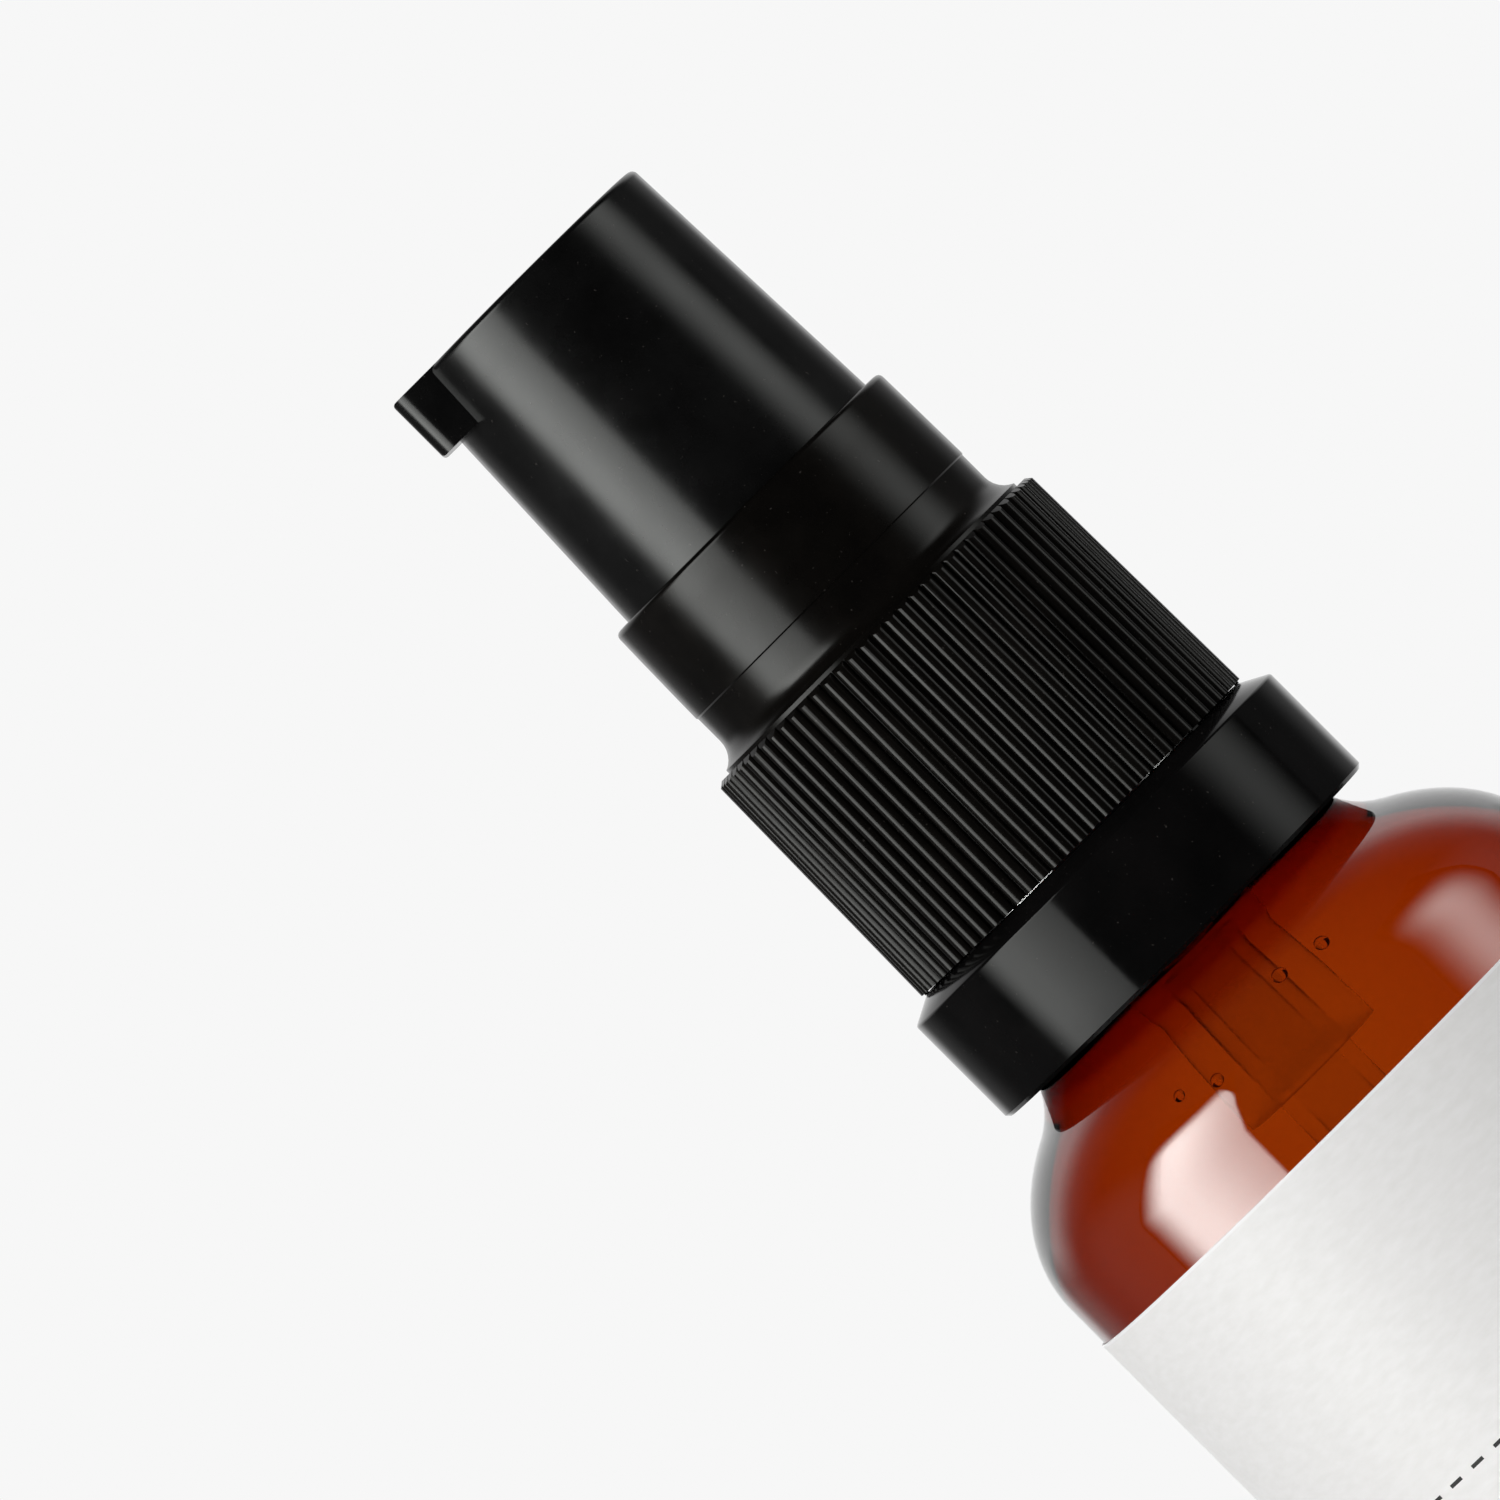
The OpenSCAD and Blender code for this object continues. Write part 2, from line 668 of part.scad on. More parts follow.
module spring() {
    count = ceil(spring_turns * spring_steps);
    points = [for (i = [0:count]) each wire_ring(i * spring_turns / count)];
    side_faces = [for (i = [0:count - 1], k = [0:wire_sides - 1])
        let (a = i * wire_sides + k, b = i * wire_sides + (k + 1) % wire_sides)
        [a, a + wire_sides, b + wire_sides, b]];
    ends = [[for (k = [0:wire_sides - 1]) k],
            [for (k = [0:wire_sides - 1]) count * wire_sides + wire_sides - 1 - k]];
    color([0.75, 0.76, 0.78])
        polyhedron(points, concat(side_faces, ends), convexity = 10);
}

bottle();
label();
tamper_band();
gasket();
pump_cylinder();
turret();
dip_tube();
spring();
check_ball();
poppet();
piston();
stem();
actuator();
collar();
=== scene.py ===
"""Pump oil bottle: finishes, filling, threads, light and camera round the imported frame."""

import math

import bmesh
import bpy
from mathutils import Matrix, Vector


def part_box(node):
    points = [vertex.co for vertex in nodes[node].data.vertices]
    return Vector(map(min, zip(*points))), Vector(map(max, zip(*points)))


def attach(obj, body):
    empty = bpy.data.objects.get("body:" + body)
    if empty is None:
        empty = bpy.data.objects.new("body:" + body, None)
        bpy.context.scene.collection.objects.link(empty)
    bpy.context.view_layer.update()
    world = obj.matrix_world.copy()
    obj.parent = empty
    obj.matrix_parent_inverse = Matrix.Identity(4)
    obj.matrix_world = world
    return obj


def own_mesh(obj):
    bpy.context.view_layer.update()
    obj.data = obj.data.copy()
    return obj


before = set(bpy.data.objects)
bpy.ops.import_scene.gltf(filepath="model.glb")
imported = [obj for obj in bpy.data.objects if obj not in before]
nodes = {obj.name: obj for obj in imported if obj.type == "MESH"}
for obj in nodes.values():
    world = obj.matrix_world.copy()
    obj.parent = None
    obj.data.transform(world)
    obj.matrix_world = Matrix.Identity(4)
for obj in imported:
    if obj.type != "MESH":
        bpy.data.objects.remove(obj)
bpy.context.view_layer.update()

MM = 0.001
TINY = 0.001 * MM

# ---------- camera ----------

# The camera is level, faces +Y and is rolled, so that the bottle leans to the upper left of the picture.
CAMERA_DISTANCE = 1.1
EYE_X = -8.32 * MM
EYE_HEIGHT = 82.8 * MM
FIELD = 72.57 * MM  # width of the view at the bottle's axis
ROLL = math.radians(45)
SENSOR = 36


def make_camera():
    data = bpy.data.cameras.new("camera")
    data.sensor_width = SENSOR
    data.lens = SENSOR * CAMERA_DISTANCE / FIELD
    data.clip_start = 0.05
    data.clip_end = 60
    camera = bpy.data.objects.new("camera", data)
    bpy.context.scene.collection.objects.link(camera)
    right = Vector((math.cos(ROLL), 0, -math.sin(ROLL)))
    up = Vector((math.sin(ROLL), 0, math.cos(ROLL)))
    back = Vector((0, -1, 0))
    turn = Matrix((right, up, back)).transposed().to_4x4()
    camera.matrix_world = Matrix.Translation((EYE_X, -CAMERA_DISTANCE, EYE_HEIGHT)) @ turn
    bpy.context.scene.camera = camera


# ---------- node trees ----------

NOISE_RANGE = (0.3, 0.7)  # where most values of a noise texture lie
WHITE = (1.0, 1.0, 1.0, 1.0)


class Tree:
    """Short calls to add and join the nodes of a tree, which is emptied first."""

    def __init__(self, tree):
        self.tree = tree
        tree.nodes.clear()

    def add(self, kind, **settings):
        node = self.tree.nodes.new(kind)
        for key, value in settings.items():
            setattr(node, key, value)
        return node

    def put(self, value, socket):
        """Joins an output to a socket, or sets the socket to a plain value."""
        if isinstance(value, bpy.types.NodeSocket):
            self.tree.links.new(value, socket)
        else:
            socket.default_value = value

    def fill(self, node, **inputs):
        """Puts a value in each named input, whose name has _ for a space."""
        for key, value in inputs.items():
            self.put(value, node.inputs[key.replace("_", " ")])
        return node

    def math(self, operation, a, b=0.0, c=0.0, clamp=False):
        node = self.add("ShaderNodeMath", operation=operation, use_clamp=clamp)
        for value, socket in zip((a, b, c), node.inputs):
            self.put(value, socket)
        return node.outputs[0]

    def parts(self, vector):
        """A vector's outputs X, Y and Z."""
        node = self.add("ShaderNodeSeparateXYZ")
        self.put(vector, node.inputs[0])
        return node.outputs

    def span(self, value, low, high, to_low=0.0, to_high=1.0, kind="LINEAR"):
        """Takes low to to_low and high to to_high, and stays within them."""
        node = self.add("ShaderNodeMapRange", interpolation_type=kind)
        self.fill(node, Value=value, From_Min=low, From_Max=high, To_Min=to_low, To_Max=to_high)
        return node.outputs[0]

    def ease(self, value, low, high, to_low=0.0, to_high=1.0):
        """As span(), with a soft start and end."""
        return self.span(value, low, high, to_low, to_high, "SMOOTHSTEP")


class Finish(Tree):
    """A new material's tree, in object coordinates."""

    def __init__(self, name):
        self.material = bpy.data.materials.new(name)
        self.material.use_nodes = True
        super().__init__(self.material.node_tree)
        self.output = self.add("ShaderNodeOutputMaterial")
        self.coords = self.add("ShaderNodeTexCoord").outputs["Object"]

    def along(self, axis):
        """The object coordinate X, Y or Z."""
        return self.parts(self.coords)[axis]

    def radius(self):
        """The distance from the bottle's axis."""
        squares = [self.math("MULTIPLY", side, side) for side in (self.along("X"), self.along("Y"))]
        return self.math("SQRT", self.math("ADD", *squares))

    def noise(self, scale, detail=3.0, roughness=0.5, coords=None):
        node = self.add("ShaderNodeTexNoise")
        self.fill(node, Scale=scale, Detail=detail, Roughness=roughness, Vector=coords or self.coords)
        return node.outputs["Fac"]

    def stretched(self, x, y, z):
        """Object coordinates scaled by x, y and z."""
        node = self.fill(self.add("ShaderNodeMapping"), Vector=self.coords, Scale=(x, y, z))
        return node.outputs[0]

    def vary(self, noise, low, high):
        """A number between low and high that follows the noise."""
        return self.span(noise, *NOISE_RANGE, low, high)

    def mix(self, factor, a, b):
        node = self.fill(self.add("ShaderNodeMix", data_type="RGBA"), Factor=factor, A=a, B=b)
        return node.outputs["Result"]

    def shade(self, noise, a, b):
        """A colour between a and b that follows the noise."""
        return self.mix(self.vary(noise, 0, 1), a, b)

    def bump(self, height, strength, distance):
        node = self.fill(self.add("ShaderNodeBump"), Height=height, Strength=strength, Distance=distance)
        return node.outputs[0]

    def show(self, node, socket="Surface"):
        self.tree.links.new(node.outputs[0], self.output.inputs[socket])

    def principled(self, **inputs):
        self.show(self.fill(self.add("ShaderNodeBsdfPrincipled"), **inputs))


def rgb(r, g, b):
    """Linear colour with alpha, from sRGB values of 0 to 255."""
    def linear(c):
        c /= 255
        return c / 12.92 if c <= 0.04045 else ((c + 0.055) / 1.055) ** 2.4
    return (linear(r), linear(g), linear(b), 1.0)


def dress(material, *names):
    """Gives every slot of the named nodes the material."""
    for name in names:
        node = nodes[name]
        if not node.material_slots:
            node.data.materials.append(material)
        for place in node.material_slots:
            place.material = material


# ---------- materials ----------

FINE_BUMP = 0.02 * MM

DUST = rgb(96, 92, 88)
DUST_SHARE = 0.25  # of the dust's colour in a speck
DUST_RANGE = (0.74, 0.8)  # the noise's peaks that make a speck
FINE_PEEL = 0.25  # height of the orange peel's fine waves, beside 1 for the coarse ones
CLOUDING = (0.03, 0.04)  # how far the roughness falls and rises


def black_plastic(name, dark, light, gloss, specular, peel):
    """Moulded black polypropylene: faint orange peel, cloudy gloss and specks of dust."""
    t = Finish(name)
    cloud = t.noise(260, 4, 0.6)
    specks = t.span(t.noise(5200, 1), *DUST_RANGE, 0, DUST_SHARE)
    colour = t.mix(specks, t.shade(cloud, dark, light), DUST)
    waves = t.math("MULTIPLY_ADD", t.noise(4200, 2), FINE_PEEL, t.noise(700, 2))
    t.principled(Base_Color=colour, Roughness=t.vary(cloud, gloss - CLOUDING[0], gloss + CLOUDING[1]),
                 Specular_IOR_Level=specular, Normal=t.bump(waves, peel, FINE_BUMP))
    return t.material


GLASS_IOR = 1.52
OIL_IOR = 1.47
OIL_LEVEL = 62.4 * MM
AMBER_DENSITY = 2200
AMBER_PASSED = (0.85, 0.575, 0.0, 1.0)
WET = "wet"  # the attribute that marks the wall under the oil
PAINTED_SHADE_ABOVE = (57.1 * MM, 57.9 * MM)  # heights on the wet wall above which a painted shade comes in, darkening the glass
# colour that the glass passes where the painted shade lies
PAINTED_SHADE_PASSED = (0.62, 0.3, 0.1, 1.0)


def amber_glass():
    """Amber glass coloured through its depth. Its inner wall is wet by the oil up to the level, and a
    painted shade darkens that wall's glass in a band below the level.
    """
    t = Finish("amber_glass")
    wet = t.add("ShaderNodeAttribute", attribute_name=WET).outputs["Fac"]
    # painted shade: above these heights the wet wall's glass is tinted darker
    painted_shade = t.math("MULTIPLY", wet, t.span(t.along("Z"), *PAINTED_SHADE_ABOVE))
    waves = t.noise(1, 2, coords=t.stretched(90, 90, 45))
    t.principled(Base_Color=t.mix(painted_shade, WHITE, PAINTED_SHADE_PASSED), Roughness=0.0, Transmission_Weight=1.0,
                 IOR=t.span(wet, 0, 1, GLASS_IOR, GLASS_IOR / OIL_IOR),
                 Normal=t.bump(waves, 0.25, 0.2 * MM))
    absorb = t.add("ShaderNodeVolumeAbsorption")
    t.show(t.fill(absorb, Color=AMBER_PASSED, Density=AMBER_DENSITY), "Volume")
    return t.material


BENDING_RIM = 0.3 * MM  # how far down from the level the oil's skin bends light


def oil_liquid():
    """Clear pale oil. The glass's wet wall bends light in place of the oil's side, so the oil's own skin
    bends light only at the top of its curved rim."""
    t = Finish("oil")
    rim = t.math("GREATER_THAN", t.along("Z"), OIL_LEVEL - BENDING_RIM)
    tint = t.shade(t.noise(120, 2), (1.0, 0.97, 0.86, 1), (1.0, 0.95, 0.82, 1))
    t.principled(Base_Color=tint, Roughness=0.0, Transmission_Weight=1.0,
                 IOR=t.span(rim, 0, 1, 1.0, OIL_IOR))
    return t.material


BUBBLE_IOR = 0.93  # nearer to 1 than that of air in oil, for faint outlines


def air_bubble():
    t = Finish("air_bubble")
    skin = t.vary(t.noise(900, 1), 0.0, 0.02)
    t.principled(Base_Color=WHITE, Roughness=skin, IOR=BUBBLE_IOR, Transmission_Weight=1.0)
    return t.material


PAINTED_HIGHLIGHT_EDGE = 0.16 * MM  # height of the painted highlight along the label's top edge
INK_DEPTH = 0.05 * MM  # the ink lies nearer than this to the outer face
INK = rgb(32, 32, 32)
RULE_HEIGHT = 34.2 * MM
RULE_THICKNESS = 0.2 * MM
RULE_HALF_ANGLE = math.radians(58)
DASH_ANGLE = math.radians(5.6)  # from one dash to the next
DASH_SHARE = 0.5
DASH_START = 50.25  # in dashes: the 50 keeps the count positive, and the quarter centres a dash in front


def label_paper():
    """Smooth coated white paper with a fine grain, a painted highlight along its top edge, and one plain
    dashed rule across the front.
    """
    t = Finish("label_paper")
    fibres = t.noise(1, 4, 0.6, t.stretched(900, 900, 2400))
    paper = t.shade(fibres, rgb(243, 242, 240), rgb(249, 248, 247))
    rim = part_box("label")[1].z
    # painted highlight: the paper turns pure white in a thin band along its top edge
    paper = t.mix(t.math("GREATER_THAN", t.along("Z"), rim - PAINTED_HIGHLIGHT_EDGE), paper, WHITE)
    angle = t.math("ARCTAN2", t.along("X"), t.math("MULTIPLY", t.along("Y"), -1))
    beat = t.math("FRACT", t.math("ADD", t.math("DIVIDE", angle, DASH_ANGLE), DASH_START))
    outer = max(math.hypot(v.co.x, v.co.y) for v in nodes["label"].data.vertices) - INK_DEPTH
    ink = t.math("LESS_THAN", beat, DASH_SHARE)
    for limit in (t.math("COMPARE", t.along("Z"), RULE_HEIGHT, RULE_THICKNESS / 2),
                  t.math("GREATER_THAN", t.radius(), outer),
                  t.math("LESS_THAN", t.math("ABSOLUTE", angle), RULE_HALF_ANGLE)):
        ink = t.math("MULTIPLY", ink, limit)
    grain = t.noise(2600, 3, 0.6)
    t.principled(Base_Color=t.mix(ink, paper, INK), Roughness=t.vary(grain, 0.42, 0.52),
                 Specular_IOR_Level=0.12, Normal=t.bump(grain, 0.12, FINE_BUMP))
    return t.material


MILKY_ABOVE = (OIL_LEVEL, OIL_LEVEL + 3 * MM)  # heights between which the plastics turn from clear to milky
PLASTIC_IOR = 1.03  # of polyethylene against oil


def milky_plastic(name, colour, other, rough, clear, milky):
    """Natural polypropylene or polyethylene. clear and milky are the shares of light that it lets through
    where oil wets it and above the oil's level."""
    t = Finish(name)
    cloud = t.noise(420, 3)
    t.principled(Base_Color=t.shade(cloud, colour, other), Roughness=t.vary(cloud, rough, rough + 0.1),
                 IOR=PLASTIC_IOR, Transmission_Weight=t.span(t.along("Z"), *MILKY_ABOVE, clear, milky),
                 Coat_Weight=0.3, Coat_Roughness=0.2, Coat_IOR=1.4,
                 Normal=t.bump(t.noise(1500, 2), 0.15, FINE_BUMP))
    return t.material


def steel(name, rough, streaks):
    """Drawn or polished stainless steel."""
    t = Finish(name)
    lines = t.noise(1, 3, 0.6, t.stretched(*streaks))
    t.principled(Base_Color=t.shade(lines, (0.56, 0.56, 0.57, 1), (0.68, 0.68, 0.69, 1)), Metallic=1.0,
                 Roughness=t.vary(lines, rough, rough + 0.12), Normal=t.bump(lines, 0.1, FINE_BUMP / 2))
    return t.material


# ---------- CAD nodes ----------

WELD = 0.002 * MM  # corners nearer than this are one
SHARP = math.radians(24)  # an edge that turns further than this stays sharp
HAIR = 0.003 * MM  # how far draw_in() moves a face
FLOOR_TOP = 5 * MM  # the bottle's inner floor lies below this height
FLOOR_RISE = 0.5  # and its faces' normals rise more than this
BASE_HOLLOW = 1.2 * MM  # the hollow under the base lies below this height


class Shaper(Tree):
    """A new geometry nodes group. self.mesh is the mesh as far as it has come."""

    def __init__(self, name):
        self.group = bpy.data.node_groups.new(name, "GeometryNodeTree")
        super().__init__(self.group)
        for way in ("INPUT", "OUTPUT"):
            self.group.interface.new_socket("Geometry", in_out=way, socket_type="NodeSocketGeometry")
        self.mesh = self.add("NodeGroupInput").outputs[0]

    def change(self, node, **inputs):
        """Puts the mesh through one more node."""
        self.fill(node, Geometry=self.mesh, **inputs)
        self.mesh = node.outputs["Geometry"]

    def shape(self, *names):
        """Ends the group and puts it on the named nodes."""
        self.put(self.mesh, self.add("NodeGroupOutput").inputs[0])
        for name in names:
            nodes[name].modifiers.new(self.group.name, "NODES").node_group = self.group


def mark_wet(*names):
    """Marks the faces of the bottle's inner wall and floor that the oil wets."""
    s = Shaper("mark_wet")
    place = s.parts(s.add("GeometryNodeInputPosition").outputs[0])
    normal = s.parts(s.add("GeometryNodeInputNormal").outputs[0])
    height = place["Z"]
    outward = s.math("MULTIPLY_ADD", place["X"], normal["X"], s.math("MULTIPLY", place["Y"], normal["Y"]))
    wall = s.math("LESS_THAN", outward, -TINY)
    floor = s.math("MULTIPLY", s.math("LESS_THAN", height, FLOOR_TOP),
                   s.math("GREATER_THAN", normal["Z"], FLOOR_RISE))
    wet = s.math("MULTIPLY", s.math("MAXIMUM", wall, floor), s.math("LESS_THAN", height, OIL_LEVEL))
    wet = s.math("MULTIPLY", wet, s.math("GREATER_THAN", height, BASE_HOLLOW))
    store = s.add("GeometryNodeStoreNamedAttribute", data_type="FLOAT", domain="FACE")
    s.change(store, Name=WET, Value=wet)
    s.shape(*names)


def smooth_faces(*names):
    """Joins a node's faces and shades them smooth, apart from its real edges."""
    s = Shaper("smooth_faces")
    s.change(s.add("GeometryNodeMergeByDistance"), Distance=WELD)
    s.change(s.add("GeometryNodeRemoveAttribute"), Name="custom_normal")
    s.change(s.add("GeometryNodeSetShadeSmooth", domain="FACE"))
    angle = s.add("GeometryNodeInputMeshEdgeAngle").outputs["Unsigned Angle"]
    gentle = s.fill(s.add("FunctionNodeCompare", operation="LESS_THAN"), A=angle, B=SHARP)
    s.change(s.add("GeometryNodeSetShadeSmooth", domain="EDGE"), Shade_Smooth=gentle.outputs["Result"])
    s.shape(*names)


def draw_in(*names):
    """Draws a node's faces in by a hair, so that none lies in a neighbour's face."""
    s = Shaper("draw_in")
    inward = s.add("ShaderNodeVectorMath", operation="SCALE")
    s.put(s.add("GeometryNodeInputNormal").outputs[0], inward.inputs[0])
    s.fill(inward, Scale=-HAIR)
    s.change(s.add("GeometryNodeSetPosition"), Offset=inward.outputs[0])
    s.shape(*names)


# ---------- pieces of the scene ----------


def new_piece(name, bm, body, material):
    mesh = bpy.data.meshes.new(name)
    bmesh.ops.recalc_face_normals(bm, faces=bm.faces)
    bm.to_mesh(mesh)
    bm.free()
    mesh.shade_smooth()
    mesh.materials.append(material)
    piece = bpy.data.objects.new(name, mesh)
    bpy.context.scene.collection.objects.link(piece)
    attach(piece, body)


def on_circle(radius, angle, height):
    return (radius * math.cos(angle), radius * math.sin(angle), height)


def lathe(profile, steps=128):
    """A closed mesh turned from (radius, height) points, of which the first and last lie on the axis."""
    bm = bmesh.new()
    angles = [2 * math.pi * i / steps for i in range(steps)]
    rings = []
    for radius, height in profile:
        around = angles if radius > 0 else angles[:1]
        rings.append([bm.verts.new(on_circle(radius, angle, height)) for angle in around])
    for low, high in zip(rings, rings[1:]):
        for i in range(steps):
            j = (i + 1) % steps
            corners = (low[i % len(low)], low[j % len(low)], high[j % len(high)], high[i % len(high)])
            bm.faces.new(list(dict.fromkeys(corners)))
    return bm


FILM = 0.02 * MM  # between the oil and the glass
# The oil climbs the glass in a curve: steps inward from the wall, and down from the level
MENISCUS = ((0.25 * MM, 0.21 * MM), (0.7 * MM, 0.35 * MM))
NEAR = 0.01 * MM  # a point of the bottle's mesh is at a height, or on the axis, if it is within this of it


def inner_wall():
    """Points (radius, height) of the bottle's inner wall, read from its own mesh, with the lowest first."""
    mesh = nodes["bottle"].data
    points = {}
    for face in mesh.polygons:
        middle, normal = face.center, face.normal
        if middle.z > BASE_HOLLOW and middle.x * normal.x + middle.y * normal.y < -TINY:
            for index in face.vertices:
                corner = mesh.vertices[index].co
                points[round(corner.z / NEAR)] = (math.hypot(corner.x, corner.y), corner.z)
    return [points[key] for key in sorted(points)]


def wall_radius(height):
    """The radius of the inner wall at a height."""
    points = inner_wall()
    for (r0, z0), (r1, z1) in zip(points, points[1:]):
        if z0 <= height <= z1:
            return r0 + (r1 - r0) * (height - z0) / (z1 - z0)
    raise ValueError("no wall at this height")


def oil():
    """The oil, from the bottle's inner floor to the level, with a curved rim."""
    floor = min(v.co.z for v in nodes["bottle"].data.vertices
                if math.hypot(v.co.x, v.co.y) < NEAR and v.co.z > 2 * BASE_HOLLOW)
    brim = wall_radius(OIL_LEVEL)
    profile = [(0, floor + FILM)]
    profile += [(r - FILM, z + FILM) for r, z in inner_wall() if z < OIL_LEVEL - 2 * FILM]
    profile += [(brim - FILM, OIL_LEVEL)]
    profile += [(brim - inward, OIL_LEVEL - down) for inward, down in MENISCUS]
    profile += [(0, profile[-1][1])]
    new_piece("oil", lathe(profile), "bottle", oil_liquid())


# Bubbles of air that cling to the front wall: x, height, depth behind the glass and radius, in millimetres
BUBBLES = ((-5.2, 56.0, 0.4, 0.3), (-3.5, 55.4, 0.4, 0.34), (1.87, 56.6, 0.4, 0.4), (4.25, 56.3, 0.4, 0.38))
BUBBLE_HEIGHT = 0.9  # share of its width


def bubbles():
    bm = bmesh.new()
    for bubble in BUBBLES:
        x, height, depth, radius = (value * MM for value in bubble)
        y = -math.sqrt((wall_radius(height) - radius - depth) ** 2 - x * x)
        place = Matrix.Translation((x, y, height)) @ Matrix.Diagonal((1, 1, BUBBLE_HEIGHT, 1))
        bmesh.ops.create_icosphere(bm, subdivisions=3, radius=radius, matrix=place)
    new_piece("air_bubbles", bm, "bottle", air_bubble())


THREAD_PITCH = 3 * MM
THREAD_TURNS = 1.6
THREAD_STEPS = 72  # to a turn
THREAD_LEAD = 0.12  # share of the length over which the ridge grows at either end
THREAD_THIN = 0.04  # share of its depth that it starts with
THREAD_ROUND = 0.12 * MM
THREAD_ROOT = 0.06 * MM  # how far the ridge reaches into its wall
ROUNDED_EDGE = 0.5  # an edge that turns further than this, in radians, is rounded
NECK = 8.0 * MM
NECK_THREAD_DEPTH = 1.0 * MM
NECK_THREAD_START = 6.6 * MM  # below the rim
COLLAR_BORE = 9.25 * MM
COLLAR_THREAD_DEPTH = 0.95 * MM
COLLAR_THREAD_START = 8.1 * MM  # below the rim
GASKET_ROOM = 0.08 * MM  # between the collar's thread and the gasket, which it rises over


def helix_ridge(root, crest, start, foot, top):
    """A screw thread's ridge, from the root's radius to the crest's, with foot and top as its widths there.
    It rises anticlockwise and fades out at both ends."""
    bm = bmesh.new()
    count = int(THREAD_TURNS * THREAD_STEPS)
    rings = []
    for i in range(count + 1):
        share = i / count
        fade = min(1, share / THREAD_LEAD, (1 - share) / THREAD_LEAD)
        tip = root + (crest - root) * max(THREAD_THIN, math.sin(fade * math.pi / 2))
        angle = 2 * math.pi * THREAD_TURNS * share
        middle = start + THREAD_PITCH * THREAD_TURNS * share
        section = ((root, -foot / 2), (tip, -top / 2), (tip, top / 2), (root, foot / 2))
        rings.append([bm.verts.new(on_circle(radius, angle, middle + z)) for radius, z in section])
    for low, high in zip(rings, rings[1:]):
        for k in range(len(low)):
            m = (k + 1) % len(low)
            bm.faces.new((low[k], low[m], high[m], high[k]))
    bm.faces.new(rings[0])
    bm.faces.new(list(reversed(rings[-1])))
    edges = [e for e in bm.edges if len(e.link_faces) == 2 and e.calc_face_angle(0) > ROUNDED_EDGE]
    bmesh.ops.bevel(bm, geom=edges, offset=THREAD_ROUND, segments=2, affect="EDGES")
    return bm


def threads(glass, plastic):
    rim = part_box("bottle")[1].z
    ridge = helix_ridge(NECK - THREAD_ROOT, NECK + NECK_THREAD_DEPTH, rim - NECK_THREAD_START,
                        foot=1.7 * MM, top=0.7 * MM)
    new_piece("neck_thread", ridge, "bottle", glass)
    crest = max(COLLAR_BORE - COLLAR_THREAD_DEPTH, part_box("gasket")[1].x + GASKET_ROOM)
    ridge = helix_ridge(COLLAR_BORE + THREAD_ROOT, crest, rim - COLLAR_THREAD_START,
                        foot=1.5 * MM, top=0.6 * MM)
    new_piece("collar_thread", ridge, "collar", plastic)


def squeeze_spring():
    """Gives the spring its own copy of its mesh."""
    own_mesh(nodes["spring"])


# ---------- light ----------

BACKGROUND = rgb(247, 247, 247)
SKY_STRENGTH = 0.5  # of what matt surfaces see

# What gloss sees of the room is dark, with a few lights. Each pair says between which values a light comes
# in, of the part of a direction that points rearward, sideways or upward.
ROOM_DARK = 0.02
ROOM_EDGE = (0.85, 0.99)  # rearward, for the white wall behind the bottle
FLANK_EDGE = (0.45, 0.85)  # rearward, for the glow round that wall
FLANK_GLOW = 0.3
SIDE_EDGE = (0.75, 0.97)  # sideways, for the glow at both sides
SIDE_GLOW = 0.2
REAR_EDGE = (0.2, 0.8)  # rearward, for the glow over the wall
REAR_RISE = (0.1, 0.5)  # upward
REAR_GLOW = 0.2
CORNER_EDGE = (0.55, 0.85)  # rearward, for the light in both rear corners
CORNER_SIDE = (0.15, 0.35)  # sideways
CORNER_RISE = (0.05, 0.3)  # upward
CORNER_GLOW = 0.8


def level_room(t, rearward, sideways):
    """What gloss sees of the room near the horizon: the white wall, its flanks and the sides."""
    room = t.ease(rearward, *ROOM_EDGE, ROOM_DARK, 1)
    room = t.math("ADD", room, t.ease(rearward, *FLANK_EDGE, 0, FLANK_GLOW))
    return t.math("ADD", room, t.ease(sideways, *SIDE_EDGE, 0, SIDE_GLOW), clamp=True)


def make_world():
    """White all round for the camera and through glass, the room for gloss, a dim white for the rest."""
    world = bpy.data.worlds.new("studio")
    bpy.context.scene.world = world
    world.use_nodes = True
    world.cycles.sampling_method = "NONE"  # lamps apart, each ray then meets the world as its own kind
    t = Tree(world.node_tree)
    path = t.add("ShaderNodeLightPath").outputs
    direction = t.parts(t.add("ShaderNodeTexCoord").outputs["Generated"])
    sideways = t.math("ABSOLUTE", direction["X"])
    rearward, upward = direction["Y"], direction["Z"]
    rear = t.math("MULTIPLY", t.ease(upward, *REAR_RISE), t.ease(rearward, *REAR_EDGE, 0, REAR_GLOW))
    corner = t.math("MULTIPLY", t.ease(sideways, *CORNER_SIDE), t.ease(upward, *CORNER_RISE))
    corner = t.math("MULTIPLY", corner, t.ease(rearward, *CORNER_EDGE, 0, CORNER_GLOW))
    room = t.math("ADD", level_room(t, rearward, sideways), t.math("ADD", rear, corner), clamp=True)
    seen = t.math("MAXIMUM", path["Is Camera Ray"], path["Is Transmission Ray"])
    white = t.math("MAXIMUM", seen, t.math("MULTIPLY", path["Is Glossy Ray"], room))
    other = t.math("SUBTRACT", 1, t.math("MAXIMUM", seen, path["Is Glossy Ray"]))
    background = t.fill(t.add("ShaderNodeBackground"), Color=BACKGROUND,
                        Strength=t.math("MULTIPLY_ADD", other, SKY_STRENGTH, white))
    t.fill(t.add("ShaderNodeOutputWorld"), Surface=background.outputs[0])


LAMP_TARGET = (0, 0, 0.06)


